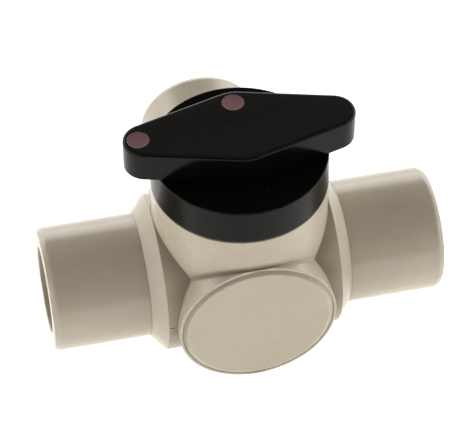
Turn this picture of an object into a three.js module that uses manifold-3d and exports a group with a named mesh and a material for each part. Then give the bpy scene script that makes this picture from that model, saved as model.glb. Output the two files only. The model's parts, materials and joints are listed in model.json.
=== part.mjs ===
// Three-way ball valve in plastic: a cross-shaped housing with three pipe spigots, a blanked front
// boss, an L-ported ball on four seats, and a quarter-turn handle with stops.
// Millimetres. +Z runs up the stem, X along the straight run, -Y is the blanked front,
// +Y the branch port. Pieces are drawn about the point where the run, the branch and the stem
// axes cross, and the whole valve is then set down with the middle of its outline over the origin.
import * as THREE from "three";
import { mergeVertices } from "three/addons/utils/BufferGeometryUtils.js";
import Module from "manifold-3d";

// Spigots and waterway
const SPIGOT_OD = 20; // pipe spigot, outside
const SPIGOT_WALL = 3; // pipe spigot, wall
const SPIGOT_LENGTH = 15.55; // plain length of a run spigot, from its taper to its end face
const BACK_SPIGOT_LENGTH = 16.75; // the same for the branch spigot
const SPIGOT_CHAMFER_LENGTH = 0.8; // lead-in at the end face, along the spigot
const SPIGOT_CHAMFER_DROP = 0.45; // lead-in at the end face, across the spigot
const COLLAR_TAPER = 2.25; // length of the taper from the housing's end down to the spigot
const COLLAR_STEP = 0.15; // how far the taper's foot stays inside the housing's rim
const WATERWAY = 9.5; // bore through the ball and the connectors' throats
const THROAT_LENGTH = 3.2; // straight part of the throat behind the seat pocket
const THROAT_FLARE = 3; // length over which the throat opens to the spigot's bore

// Seats and their backing rings
const SEAT_STEP = 0.25; // seat's bore over the waterway, each side
const SEAT_CONTACT = 0.95; // width of the seat's face on the ball, across the bore
const SEAT_RIM = 1.05; // flat rim outside the seat's face
const SEAT_LENGTH = 2.65;
const SEAT_CORNER_GAP = 0.15; // room left where two neighbouring seats meet
const SEAT_RING_SECTION = 1.4; // backing O-ring, cord diameter
const SEAT_RING_EDGE = 0.3; // backing O-ring's outer edge to the seat's outer edge
const NOSE_WALL = 1.3; // wall of the connector's nose round the seat
const NOSE_CORNER_GAP = 0.2; // room left where two neighbouring noses meet

// Housing
const BALL_ROOM = 0.8; // ball to the housing's cross bores
const HOUSING_WALL = 2.75; // wall round the cross bores
const FRONT_PROUD = 0; // front boss over the run's cylinder, each side: flush, so all four arms bear on the bench
const FRONT_LEDGE = 0.25; // the front lip stands this far in front of the neck
const FRONT_LIP = 0.45; // thickness of the lip round the closing plug
const NECK_STEP = 1.2; // neck's radius over the run's
const NECK_LEDGE = 0.15; // the housing's end faces stand this far outside the neck
const NECK_WALL = 2.3; // wall round the neck's annular recess
const NECK_RECESS_DEPTH = 4.4; // depth of the annular recess from the neck's top
const NECK_BOSS_WALL = 1.6; // wall between the gland bush and the annular recess

// Closing plug in the front boss
const PLUG_FLANGE = 1.2; // thickness of the flange inside the lip
const PLUG_PROUD = 0.4; // the plug's face stands this far in front of the lip
const PLUG_RISE = 0.45; // the face stands this far in front of the plug's own edge
const PLUG_SLOPE_WIDTH = 0.8; // width of the sloping edge round the plug's face

// Ball's slot and stem
const BALL_SLOT_WIDTH = 3.2; // slot for the stem's tang
const BALL_SLOT_ROOF = 1.95; // wall between the waterway and the slot's floor
const STEM_D = 7;
const STEM_COLLAR_STEP = 1.5; // retaining collar's radius over the stem's
const STEM_COLLAR_HEIGHT = 1.4;
const STEM_COLLAR_GAP = 0.2; // ball's top to the collar's underside
const TANG_INSET = 1; // tang's ends inside the collar's edge
const STEM_RING_SECTION = 1.2; // stem O-rings, cord diameter
const STEM_GROOVE_WIDTH = 1.5;
const STEM_LAND = 0.5; // plain stem on each side of a groove
const SQUARE_RELIEF = 0.15; // square drive end, across flats, under the square that just fits the stem
const THRUST_WASHER_THICK = 0.7;
const BUSH_WALL = 2.5;
const BUSH_HEIGHT = 2.8;

// Handle
const SKIRT_OVER = 0; // skirt's radius over the neck's
const DISC_DRAFT = 0.15; // how far the skirt leans in from its foot to its top
const SKIRT_HEIGHT = 5.95; // disc top down to the skirt's lower edge
const SKIRT_WALL = 1.7;
const DISC_EDGE = 0.2; // small bevel round the disc's top
const DISC_THICK = 2.55;
const HUB_WALL = 2; // hub's wall outside the corners of the square socket
const HUB_GAP = 0.4; // neck's top to the hub's lower end
const SOCKET_WEB = 0.8; // web between the square socket and the screw pocket
const GRIP_LENGTH = 36.3; // tip to tip
const GRIP_WIDTH = 14.9; // across the two blunt corners
const GRIP_HEIGHT = 5.4;
const GRIP_TIP_RADIUS = 3.45;
const GRIP_CORNER_RADIUS = 6;
const GRIP_EDGE = 0.35; // small bevel round the grip's top
const PRONG_GAP = 1; // hub to each of the grip's two prongs
const PRONG_LENGTH = 3; // along the grip
const PRONG_THICK = 1.8; // across the grip
const PRONG_HOOK = 0.45; // how far each prong's hook stands out under the disc
const PRONG_HOOK_HEIGHT = 0.8;
const MARKER_D = 3.5; // port marker plugs let into the grip
const MARKER_DEPTH = 1.6;
const MARKER_TIP_INSET = 2.35; // grip's tip to the centre of the tip marker
const MARKER_SIDE_INSET = 2.6; // grip's blunt corner to the centre of the side marker
const SCREW_D = 3;
const SCREW_LENGTH = 6;
const SCREW_HEAD_D = 5.4;
const SCREW_HEAD_HEIGHT = 1.2;
const SCREW_HEAD_SINK = 0.2; // screw head below the disc's top
const SCREW_DRIVE_D = 2.2;
const SCREW_DRIVE_DEPTH = 0.8;
const WASHER_OVER = 0.5; // washer's radius over the screw head's
const WASHER_THICK = 0.45;
const SCREW_POCKET_ROOM = 0.3; // washer to its pocket, each side

// Stops: a lug under the disc runs in the neck's recess between two ribs
const HANDLE_TRAVEL = 90; // degrees, clockwise from rest seen from above
const LUG_ANGLE = 225; // degrees from +X, where the lug stands at rest
const LUG_SPAN = 16; // degrees
const LUG_SIDE_ROOM = 0.6; // lug to each wall of the recess
const LUG_CLEAR = 0.7; // lug's foot to the recess's floor
const RIB_SPAN = 10; // degrees
const STOP_SLACK = 0.6; // degrees left between lug and rib at each end

// Clearances
const SEAM = 0.05; // faces of pieces that are joined or clamped together
const PRESS = 0.1; // radial, pieces pressed or welded into one another
const RUN = 0.1; // radial, stem in its bore and tang in its slot
const SOCKET_PLAY = 0.1; // each side, square in its socket
const BALL_PLAY = 0.1; // ball to seat
const TURN_GAP = 0.3; // housing to the turning disc

// Facets
const ROUND = 40; // outer cylinders
const FINE = 24; // inner turned pieces
const RING = 20; // O-rings, around
const CORD = 6; // O-rings, across

const wasm = await Module();
wasm.setup();

// ---------- making and joining solids ----------

// Axis frames as exact permutations, so faces that share a value stay on one plane.
const AXES = {
  z: new THREE.Matrix4(),
  x: new THREE.Matrix4().set(0, 0, 1, 0, 1, 0, 0, 0, 0, 1, 0, 0, 0, 0, 0, 1),
  "-x": new THREE.Matrix4().set(0, 0, -1, 0, -1, 0, 0, 0, 0, 1, 0, 0, 0, 0, 0, 1),
  y: new THREE.Matrix4().set(0, 1, 0, 0, 0, 0, 1, 0, 1, 0, 0, 0, 0, 0, 0, 1),
  "-y": new THREE.Matrix4().set(0, 1, 0, 0, 0, 0, -1, 0, 1, 0, 0, 0, 0, 0, 0, 1),
};

function toSolid(geometry) {
  const bare = geometry.index ? geometry.toNonIndexed() : geometry.clone();
  for (const name of Object.keys(bare.attributes)) {
    if (name !== "position") bare.deleteAttribute(name);
  }
  const merged = mergeVertices(bare, 1e-4);
  const triVerts = new Uint32Array(merged.index.array);
  const vertProperties = new Float32Array(merged.attributes.position.array);
  const make = (tris) =>
    new wasm.Manifold(new wasm.Mesh({ numProp: 3, vertProperties, triVerts: tris }));
  const made = make(triVerts);
  if (made.volume() >= 0) return made;
  const turned = triVerts.slice();
  for (let i = 0; i < turned.length; i += 3) {
    turned[i + 1] = triVerts[i + 2];
    turned[i + 2] = triVerts[i + 1];
  }
  return make(turned);
}

function toGeometry(solid) {
  const mesh = solid.getMesh();
  const positions = new Float32Array(mesh.numVert * 3);
  for (let i = 0; i < mesh.numVert; i++) {
    for (let k = 0; k < 3; k++) positions[3 * i + k] = mesh.vertProperties[i * mesh.numProp + k];
  }
  const geometry = new THREE.BufferGeometry();
  geometry.setAttribute("position", new THREE.BufferAttribute(positions, 3));
  geometry.setIndex(new THREE.BufferAttribute(new Uint32Array(mesh.triVerts), 1));
  geometry.computeVertexNormals();
  return geometry;
}

// A turned piece: profile is a list of [along, radius], closed on itself or on the axis. A corner
// of the facets points along the frame's own axes, or a flat does when level is true.
function turned(profile, axis = "z", facets = ROUND, level = false) {
  const onAxis = profile[0][1] === 0 && profile[profile.length - 1][1] === 0;
  const loop = onAxis ? profile : [...profile, profile[0]];
  const lathe = new THREE.LatheGeometry(
    loop.map(([along, radius]) => new THREE.Vector2(radius, along)),
    facets,
    level ? Math.PI / facets : 0,
  );
  // The lathe turns about Y: bring that to Z, then to the wanted axis.
  lathe.applyMatrix4(new THREE.Matrix4().set(0, 0, 1, 0, 1, 0, 0, 0, 0, 1, 0, 0, 0, 0, 0, 1));
  lathe.applyMatrix4(AXES[axis]);
  return toSolid(lathe);
}

const rod = (radius, from, to, axis = "z", facets = ROUND, level = false) =>
  turned([[from, 0], [from, radius], [to, radius], [to, 0]], axis, facets, level);

const tube = (inner, outer, from, to, axis = "z", facets = ROUND) =>
  turned([[from, inner], [from, outer], [to, outer], [to, inner]], axis, facets);

function torus(meanR, cord, along, axis = "z") {
  const profile = [];
  for (let i = 0; i < CORD; i++) {
    const a = (2 * Math.PI * (i + 0.5)) / CORD;
    profile.push([along + (cord / 2) * Math.cos(a), meanR + (cord / 2) * Math.sin(a)]);
  }
  return turned(profile, axis, RING);
}

function block(x0, x1, y0, y1, z0, z1) {
  const box = new THREE.BoxGeometry(x1 - x0, y1 - y0, z1 - z0);
  box.translate((x0 + x1) / 2, (y0 + y1) / 2, (z0 + z1) / 2);
  return toSolid(box);
}

// A block that fills part of a ring, between two radii and two angles in degrees.
function sector(inner, outer, middle, span, z0, z1) {
  const a0 = THREE.MathUtils.degToRad(middle - span / 2);
  const a1 = THREE.MathUtils.degToRad(middle + span / 2);
  const shape = new THREE.Shape();
  const steps = 4;
  const at = (r, i) => [
    r * Math.cos(a0 + ((a1 - a0) * i) / steps),
    r * Math.sin(a0 + ((a1 - a0) * i) / steps),
  ];
  shape.moveTo(...at(inner, 0));
  for (let i = 0; i <= steps; i++) shape.lineTo(...at(outer, i));
  for (let i = steps; i > 0; i--) shape.lineTo(...at(inner, i));
  shape.closePath();
  const body = new THREE.ExtrudeGeometry(shape, { depth: z1 - z0, bevelEnabled: false });
  body.translate(0, 0, z0);
  return toSolid(body);
}

// ---------- sizes that follow from the ones above ----------

// Seats stand square to each other round the ball, so their size sets the ball's.
const waterR = WATERWAY / 2;
const seatBoreR = waterR + SEAT_STEP;
const seatFaceR = seatBoreR + SEAT_CONTACT;
const seatR = seatFaceR + SEAT_RIM;
const seatNose = seatR + SEAT_CORNER_GAP;
const bowlR = Math.hypot(seatFaceR, seatNose);
const ballR = bowlR - BALL_PLAY;
const seatBack = seatNose + SEAT_LENGTH;
const ringCentre = seatBack + SEAM + SEAT_RING_SECTION / 2;
const ringMeanR = seatR - SEAT_RING_EDGE - SEAT_RING_SECTION / 2;
const pocketFloor = ringCentre + SEAT_RING_SECTION / 2 + SEAM;
const seatPocketR = seatR + PRESS;
const noseR = seatPocketR + NOSE_WALL;
const noseTip = noseR + NOSE_CORNER_GAP;

const cavityR = ballR + BALL_ROOM;
const shoulderR = cavityR - PRESS;
const shoulder = cavityR + SEAM; // connectors' shoulders clear each other in the cross bores
const housingR = cavityR + HOUSING_WALL;
const frontR = housingR + FRONT_PROUD;
const neckR = housingR + NECK_STEP;
const housingEnd = neckR + NECK_LEDGE;
const frontEnd = neckR + FRONT_LEDGE;
const plugFace = frontEnd + PLUG_PROUD;
const lipR = frontR - FRONT_LIP;
const flangeBack = frontEnd - PLUG_FLANGE;
const collarFace = housingEnd + SEAM;
const taperEnd = housingEnd + COLLAR_TAPER;
const spigotR = SPIGOT_OD / 2;
const spigotBoreR = spigotR - SPIGOT_WALL;
const spigotEnd = taperEnd + SPIGOT_LENGTH;
const backEnd = taperEnd + BACK_SPIGOT_LENGTH;

const slotFloor = waterR + BALL_SLOT_ROOF;
const stemR = STEM_D / 2;
const stemBoreR = stemR + RUN;
const stemCoreR = stemBoreR - STEM_RING_SECTION - 2 * SEAM;
const collarR = stemR + STEM_COLLAR_STEP;
const collarBase = ballR + STEM_COLLAR_GAP;
const collarTop = collarBase + STEM_COLLAR_HEIGHT;
const washerBase = collarTop + SEAM;
const roof = washerBase + THRUST_WASHER_THICK + SEAM;
const lowerGroove = roof + STEM_LAND;
const upperGroove = lowerGroove + STEM_GROOVE_WIDTH + STEM_LAND;
const bushBase = upperGroove + STEM_GROOVE_WIDTH + STEM_LAND;
const neckTop = bushBase + BUSH_HEIGHT;
const bushR = stemBoreR + BUSH_WALL;
const recessFloor = neckTop - NECK_RECESS_DEPTH;
const recessOuterR = neckR - NECK_WALL;
const recessInnerR = bushR + SEAM + NECK_BOSS_WALL;

const skirtR = neckR + SKIRT_OVER;
const skirtBase = neckTop + TURN_GAP;
const discTop = skirtBase + SKIRT_HEIGHT;
const discUnder = discTop - DISC_THICK;
const headTop = discTop - SCREW_HEAD_SINK;
const headUnder = headTop - SCREW_HEAD_HEIGHT;
const screwWasherBase = headUnder - SEAM - WASHER_THICK;
const screwSeat = screwWasherBase - SEAM;
const socketTop = screwSeat - SOCKET_WEB;
const stemTop = socketTop - SEAM;
const squareHalf = (stemR * Math.SQRT2 - SQUARE_RELIEF) / 2;
const socketHalf = squareHalf + SOCKET_PLAY;
const hubR = socketHalf * Math.SQRT2 + HUB_WALL;
const washerR = SCREW_HEAD_D / 2 + WASHER_OVER;
const prongX = hubR + PRONG_GAP + PRONG_LENGTH / 2;
const gripTop = discTop + GRIP_HEIGHT;
const tipMarkerX = -(GRIP_LENGTH / 2 - MARKER_TIP_INSET);
const sideMarkerY = GRIP_WIDTH / 2 - MARKER_SIDE_INSET;
const ribOffset = (LUG_SPAN + RIB_SPAN) / 2 + STOP_SLACK;

// ---------- pieces ----------

function housing() {
  const past = 1;
  const shell = rod(housingR, -housingEnd, housingEnd, "x", ROUND, true)
    .add(rod(housingR, 0, housingEnd, "y", ROUND, true))
    .add(rod(frontR, 0, frontEnd, "-y", ROUND, true))
    .add(rod(neckR, 0, neckTop, "z"));
  const rib = (middle) => sector(recessInnerR - past, recessOuterR + past, middle, RIB_SPAN,
    recessFloor - past, neckTop + past);
  const recess = tube(recessInnerR, recessOuterR, recessFloor, neckTop + past, "z")
    .subtract(rib(LUG_ANGLE + ribOffset))
    .subtract(rib(LUG_ANGLE - HANDLE_TRAVEL - ribOffset));
  return shell
    .subtract(rod(cavityR, -housingEnd - past, housingEnd + past, "x"))
    .subtract(rod(cavityR, -housingEnd - past, frontEnd + past, "-y"))
    .subtract(rod(lipR, flangeBack, frontEnd + past, "-y"))
    .subtract(rod(collarR + 2 * RUN, 0, roof, "z", FINE))
    .subtract(rod(stemBoreR, 0, neckTop + past, "z", FINE))
    .subtract(rod(bushR + SEAM, bushBase - SEAM, neckTop + past, "z", FINE))
    .subtract(recess);
}

// The end of a connector or plug that holds a seat and its ring inside the housing.
const noseProfile = [
  [pocketFloor, seatPocketR],
  [noseTip, seatPocketR],
  [noseTip, noseR],
  [shoulder, noseR],
  [shoulder, shoulderR],
];

function connector(axis, end) {
  const foot = housingR - COLLAR_STEP;
  return turned([
    ...noseProfile,
    [collarFace, shoulderR],
    [collarFace, foot],
    [collarFace + COLLAR_STEP, foot],
    [taperEnd, spigotR],
    [end - SPIGOT_CHAMFER_LENGTH, spigotR],
    [end, spigotR - SPIGOT_CHAMFER_DROP],
    [end, spigotBoreR],
    [pocketFloor + THROAT_LENGTH + THROAT_FLARE, spigotBoreR],
    [pocketFloor + THROAT_LENGTH, waterR],
    [pocketFloor, waterR],
  ], axis);
}

function closingPlug() {
  const edge = lipR - PRESS;
  return turned([
    [pocketFloor, 0],
    ...noseProfile,
    [flangeBack + SEAM, shoulderR],
    [flangeBack + SEAM, edge],
    [plugFace - PLUG_RISE, edge],
    [plugFace - PLUG_RISE / 6, edge - PLUG_SLOPE_WIDTH * 0.75],
    [plugFace, edge - PLUG_SLOPE_WIDTH * 1.2],
    [plugFace, 0],
  ], "-y");
}

function ball() {
  const past = 1;
  const sphere = new THREE.SphereGeometry(ballR, ROUND - 4, (ROUND - 4) / 2);
  sphere.applyMatrix4(AXES.x);
  return toSolid(sphere)
    .subtract(rod(waterR, 0, ballR + past, "-x", FINE))
    .subtract(rod(waterR, 0, ballR + past, "y", FINE))
    .subtract(toSolid(new THREE.SphereGeometry(waterR, FINE, FINE / 2)))
    .subtract(block(-ballR - past, ballR + past, -BALL_SLOT_WIDTH / 2, BALL_SLOT_WIDTH / 2,
      slotFloor, ballR + past));
}

function seat(axis) {
  const on = (r) => Math.sqrt(bowlR * bowlR - r * r);
  const midR = seatBoreR + SEAT_CONTACT / 2;
  return turned([
    [on(seatBoreR), seatBoreR],
    [on(midR), midR],
    [seatNose, seatFaceR],
    [seatNose, seatR],
    [seatBack, seatR],
    [seatBack, seatBoreR],
  ], axis, FINE);
}

const seatRing = (axis) => torus(ringMeanR, SEAT_RING_SECTION, ringCentre, axis);

const thrustWasher = () =>
  tube(stemR + 2 * RUN, collarR, washerBase, washerBase + THRUST_WASHER_THICK, "z", FINE);

const glandBush = () => tube(stemBoreR, bushR, bushBase, neckTop, "z", FINE);

const stemRing = (groove) => torus(stemCoreR + SEAM + STEM_RING_SECTION / 2,
  STEM_RING_SECTION, groove + STEM_GROOVE_WIDTH / 2, "z");

function stem() {
  const bar = turned([
    [collarBase, 0],
    [collarBase, collarR],
    [collarTop, collarR],
    [collarTop, stemR],
    [lowerGroove, stemR],
    [lowerGroove, stemCoreR],
    [lowerGroove + STEM_GROOVE_WIDTH, stemCoreR],
    [lowerGroove + STEM_GROOVE_WIDTH, stemR],
    [upperGroove, stemR],
    [upperGroove, stemCoreR],
    [upperGroove + STEM_GROOVE_WIDTH, stemCoreR],
    [upperGroove + STEM_GROOVE_WIDTH, stemR],
    [neckTop, stemR],
    [neckTop, 0],
  ], "z", FINE);
  const square = block(-squareHalf, squareHalf, -squareHalf, squareHalf, neckTop - 1, stemTop);
  const tangHalf = collarR - TANG_INSET;
  const tang = block(-tangHalf, tangHalf, -BALL_SLOT_WIDTH / 2 + RUN, BALL_SLOT_WIDTH / 2 - RUN,
    slotFloor + RUN, collarTop - STEM_COLLAR_HEIGHT / 2);
  const thread = rod(SCREW_D / 2 + SEAM, headUnder - SCREW_LENGTH - 4 * SEAM, stemTop + 1,
    "z", RING);
  return bar.add(square).add(tang).subtract(thread);
}

function handleDisc() {
  const top = skirtR - DISC_DRAFT;
  const inner = skirtR - SKIRT_WALL;
  const hole = SCREW_D / 2 + 2 * RUN;
  const pocket = washerR + SCREW_POCKET_ROOM;
  const shell = turned([
    [skirtBase, inner],
    [skirtBase, skirtR],
    [discTop - DISC_EDGE, top],
    [discTop, top - DISC_EDGE],
    [discTop, pocket],
    [screwSeat, pocket],
    [screwSeat, hole],
    [neckTop + HUB_GAP, hole],
    [neckTop + HUB_GAP, hubR],
    [discUnder, hubR],
    [discUnder, inner - DISC_EDGE],
    [discUnder - DISC_EDGE, inner],
  ], "z");
  const socket = block(-socketHalf, socketHalf, -socketHalf, socketHalf,
    neckTop, socketTop);
  const lug = sector(recessInnerR + LUG_SIDE_ROOM, recessOuterR - LUG_SIDE_ROOM,
    LUG_ANGLE, LUG_SPAN, recessFloor + LUG_CLEAR, discUnder + DISC_THICK / 2);
  const window = (s) => block(
    s * prongX - PRONG_LENGTH / 2 - RUN, s * prongX + PRONG_LENGTH / 2 + RUN,
    -PRONG_THICK / 2 - RUN, PRONG_THICK / 2 + RUN + PRONG_HOOK, discUnder - 1, discTop + 1);
  return shell.add(lug).subtract(socket).subtract(window(1)).subtract(window(-1));
}

// Outline of the grip: a long rhombus with round tips and eased blunt corners, taken in by inset.
function gripOutline(inset) {
  const tipR = GRIP_TIP_RADIUS - inset;
  const tipX = GRIP_LENGTH / 2 - GRIP_TIP_RADIUS;
  const cornerR = GRIP_CORNER_RADIUS - inset;
  const cornerY = GRIP_WIDTH / 2 - GRIP_CORNER_RADIUS;
  // Direction square to the flank that touches both the tip circle and the corner circle.
  const reach = Math.hypot(tipX, cornerY);
  const normal = Math.acos((GRIP_CORNER_RADIUS - GRIP_TIP_RADIUS) / reach)
    - Math.atan2(cornerY, tipX);
  const points = [];
  const arc = (cx, cy, r, a0, a1, n) => {
    for (let i = 0; i <= n; i++) {
      const a = a0 + ((a1 - a0) * i) / n;
      points.push(new THREE.Vector2(cx + r * Math.cos(a), cy + r * Math.sin(a)));
    }
  };
  const steps = 8;
  arc(tipX, 0, tipR, -normal, normal, steps);
  arc(0, cornerY, cornerR, normal, Math.PI - normal, steps / 2);
  arc(-tipX, 0, tipR, Math.PI - normal, Math.PI + normal, steps);
  arc(0, -cornerY, cornerR, Math.PI + normal, 2 * Math.PI - normal, steps / 2);
  return points;
}

// A prism between two outlines with the same number of points.
function loft(lower, upper, z0, z1) {
  const n = lower.length;
  const positions = [];
  lower.forEach((p) => positions.push(p.x, p.y, z0));
  upper.forEach((p) => positions.push(p.x, p.y, z1));
  const index = [];
  for (let i = 0; i < n; i++) {
    const j = (i + 1) % n;
    index.push(i, j, n + j, i, n + j, n + i);
  }
  for (const [a, b, c] of THREE.ShapeUtils.triangulateShape(lower, [])) {
    const up = THREE.ShapeUtils.area([lower[a], lower[b], lower[c]]) > 0;
    const [p, q] = up ? [b, c] : [c, b];
    index.push(a, q, p, n + a, n + p, n + q);
  }
  const geometry = new THREE.BufferGeometry();
  geometry.setAttribute("position", new THREE.Float32BufferAttribute(positions, 3));
  geometry.setIndex(index);
  return toSolid(geometry);
}

function grip() {
  const full = gripOutline(0);
  const sides = loft(full, full, discTop, gripTop - GRIP_EDGE);
  const edge = loft(full, gripOutline(GRIP_EDGE), gripTop - GRIP_EDGE, gripTop);
  const prong = (s) => {
    const x0 = s * prongX - PRONG_LENGTH / 2;
    const x1 = s * prongX + PRONG_LENGTH / 2;
    const under = discUnder - SEAM;
    const foot = under - PRONG_HOOK_HEIGHT;
    return block(x0, x1, -PRONG_THICK / 2, PRONG_THICK / 2, foot, discTop + 1)
      .add(block(x0, x1, -PRONG_THICK / 2, PRONG_THICK / 2 + PRONG_HOOK + 2 * RUN, foot, under));
  };
  const hole = (x, y) => rod(MARKER_D / 2 + SEAM, gripTop - MARKER_DEPTH - SEAM, gripTop + 1,
    "z", RING).translate([x, y, 0]);
  return sides
    .add(edge)
    .add(prong(1))
    .add(prong(-1))
    .subtract(hole(tipMarkerX, 0))
    .subtract(hole(0, sideMarkerY));
}

const marker = () => rod(MARKER_D / 2, gripTop - MARKER_DEPTH, gripTop, "z", RING);

function screw() {
  const tip = headUnder - SCREW_LENGTH;
  const point = 0.4;
  return turned([
    [tip, 0],
    [tip, SCREW_D / 2 - point],
    [tip + point, SCREW_D / 2],
    [headUnder, SCREW_D / 2],
    [headUnder, SCREW_HEAD_D / 2],
    [headTop, SCREW_HEAD_D / 2 - point / 2],
    [headTop, SCREW_DRIVE_D / 2],
    [headTop - SCREW_DRIVE_DEPTH, SCREW_DRIVE_D / 2],
    [headTop - SCREW_DRIVE_DEPTH, 0],
  ], "z", RING);
}

const screwWasher = () =>
  tube(SCREW_D / 2 + RUN, washerR, screwWasherBase, screwWasherBase + WASHER_THICK, "z", RING);

// ---------- materials ----------

const look = (color, roughness, metalness = 0) =>
  new THREE.MeshStandardMaterial({ color, roughness, metalness });
const BEIGE = 0xb8b09a;
const BLACK = 0x1b1a18;
const MAUVE = 0x754d50;
const WHITE = 0xe6e3da;
const SEAL = 0x23201f;
const STEEL = 0xb9bbbd;

// ---------- the assembly ----------

const valve = new THREE.Group();
const fixed = new THREE.Group();
const turning = new THREE.Group();
valve.add(fixed, turning);

function place(group, name, solid, material, at = [0, 0, 0]) {
  const mesh = new THREE.Mesh(toGeometry(solid), material);
  mesh.name = name;
  mesh.position.set(...at);
  group.add(mesh);
}

place(fixed, "housing", housing(), look(BEIGE, 0.4));
place(fixed, "left_connector", connector("-x", spigotEnd), look(BEIGE, 0.38));
place(fixed, "right_connector", connector("x", spigotEnd), look(BEIGE, 0.38));
place(fixed, "back_connector", connector("y", backEnd), look(BEIGE, 0.38));
place(fixed, "closing_plug", closingPlug(), look(BEIGE, 0.45));
const sides = { left: "-x", right: "x", back: "y", front: "-y" };
for (const [side, axis] of Object.entries(sides)) {
  place(fixed, side + "_seat", seat(axis), look(WHITE, 0.35));
  place(fixed, side + "_seat_ring", seatRing(axis), look(SEAL, 0.6));
}
place(fixed, "thrust_washer", thrustWasher(), look(WHITE, 0.35));
place(fixed, "gland_bush", glandBush(), look(BEIGE, 0.5));
place(turning, "ball", ball(), look(BEIGE, 0.25));
place(turning, "stem", stem(), look(BEIGE, 0.35));
place(turning, "lower_stem_ring", stemRing(lowerGroove), look(SEAL, 0.6));
place(turning, "upper_stem_ring", stemRing(upperGroove), look(SEAL, 0.6));
place(turning, "handle_disc", handleDisc(), look(BLACK, 0.2));
place(turning, "handle_grip", grip(), look(BLACK, 0.3));
place(turning, "tip_marker", marker(), look(MAUVE, 0.5), [tipMarkerX, 0, 0]);
place(turning, "side_marker", marker(), look(MAUVE, 0.5), [0, sideMarkerY, 0]);
place(turning, "handle_screw", screw(), look(STEEL, 0.3, 1));
place(turning, "screw_washer", screwWasher(), look(STEEL, 0.3, 1));

// The flats under the housing's four arms stand on z = 0.
valve.position.set(0, (plugFace - backEnd) / 2, housingR * Math.cos(Math.PI / ROUND));

export default valve;
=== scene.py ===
"""Three-way ball valve in moulded plastic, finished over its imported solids.

Sizes in this file are millimetres until a mesh is made, and metres from then on.
+Z runs up the stem, X along the run, -Y is the blanked front and +Y the branch port.
"""

import json
import math

import bmesh
import bpy
import numpy as np
from mathutils import Matrix, Vector


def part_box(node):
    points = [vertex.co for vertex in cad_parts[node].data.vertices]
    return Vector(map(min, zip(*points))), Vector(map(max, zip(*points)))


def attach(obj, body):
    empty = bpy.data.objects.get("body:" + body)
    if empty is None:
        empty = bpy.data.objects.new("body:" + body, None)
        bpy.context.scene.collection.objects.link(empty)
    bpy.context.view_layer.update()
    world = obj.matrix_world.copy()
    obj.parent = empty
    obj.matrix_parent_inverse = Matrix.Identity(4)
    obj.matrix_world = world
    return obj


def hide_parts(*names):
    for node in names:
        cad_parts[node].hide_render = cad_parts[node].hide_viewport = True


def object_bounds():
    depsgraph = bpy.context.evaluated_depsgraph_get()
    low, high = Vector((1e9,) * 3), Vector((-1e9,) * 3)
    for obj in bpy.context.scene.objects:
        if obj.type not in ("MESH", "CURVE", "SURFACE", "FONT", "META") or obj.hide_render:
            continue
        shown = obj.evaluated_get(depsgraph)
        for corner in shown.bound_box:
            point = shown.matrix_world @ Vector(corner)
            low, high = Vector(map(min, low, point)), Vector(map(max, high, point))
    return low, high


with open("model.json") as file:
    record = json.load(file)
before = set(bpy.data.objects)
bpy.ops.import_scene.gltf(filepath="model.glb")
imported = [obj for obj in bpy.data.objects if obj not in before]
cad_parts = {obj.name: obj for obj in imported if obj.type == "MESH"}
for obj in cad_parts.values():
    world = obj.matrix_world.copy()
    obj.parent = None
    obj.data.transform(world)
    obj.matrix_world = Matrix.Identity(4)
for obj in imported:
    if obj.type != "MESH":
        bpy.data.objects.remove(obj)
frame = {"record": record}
cad_low, cad_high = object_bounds()

MM = 0.001
FACETS = 192  # round pieces that are seen
INNER_FACETS = 96  # round pieces inside the housing
SMALL_FACETS, THREAD_FACETS = 64, 48  # markers and fixings, and the threaded hole
SHARP = math.radians(34)  # an edge that turns more than this stays crisp
WELD = 2e-7  # metres, points nearer than this are one point

# ---------- sizes ----------


def middle_of(node):
    low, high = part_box(node)
    return (low + high) / 2


# Where the run, branch and stem axes cross. Every place below is measured from there.
cross = Vector((middle_of("housing").x, *middle_of("right_connector").yz))


def corners(node):
    """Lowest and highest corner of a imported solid, in millimetres from where the axes cross."""
    low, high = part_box(node)
    return np.array(low - cross) / MM, np.array(high - cross) / MM


housing_low, housing_high = corners("housing")
run_end, branch_end, neck_top = housing_high
front_end = -housing_low[1]
run_r = -housing_low[2]
disc_low, disc_high = corners("handle_disc")
neck_r = disc_high[0]
disc_top = disc_high[2]
grip_low, grip_high = corners("handle_grip")
grip_top = grip_high[2]
spigot_end = corners("right_connector")[1][0]
back_end = corners("back_connector")[1][1]
plug_face = -corners("closing_plug")[0][1]
seat_low, seat_high = corners("right_seat")
ball_r = corners("ball")[1][0]
stem_low, stem_high = corners("stem")
bush_low, bush_high = corners("gland_bush")
washer_low, washer_high = corners("thrust_washer")

# Fits between pieces
SEAM, PRESS, RUN_FIT, FLUSH = 0.05, 0.1, 0.1, 0.01
PAST = 1.0  # how far a cutter runs past what it cuts

# Ports: spigots, their tapered collars and the throats to the ball
SPIGOT_R, SPIGOT_BORE_R, WATER_R = 10.0, 7.0, 4.75
TAPER, THROAT, THROAT_FLARE = 2.25, 3.2, 3.0
NOSE_WALL, NOSE_GAP = 1.3, 0.2  # the part that holds the seat

# Front plug inside the boss's lip
LIP, PLUG_FLANGE, PLUG_RISE, PLUG_SLOPE = 0.45, 1.2, 0.55, 0.72

# Ball, seats and rings
BALL_CLEAR, BALL_TO_COLLAR, BALL_SLOT, SLOT_FLOOR = 0.8, 0.2, 3.2, 6.7
SEAT_RELIEF, SEAT_LAND = 0.25, 0.95
SEAT_CORD, STEM_CORD = 1.4, 1.2

# Stem: its collar, tang, ring grooves and square end
STEM_R, STEM_GROOVE, STEM_LAND = 3.5, 1.5, 0.5
COLLAR_PROUD, COLLAR_HEIGHT, TANG_INSET, TANG_ROOT = 1.5, 1.4, 1.0, 0.7
SQUARE_RELIEF, SOCKET_PLAY, SOCKET_ROOF = 0.15, 0.1, 0.8

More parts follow.
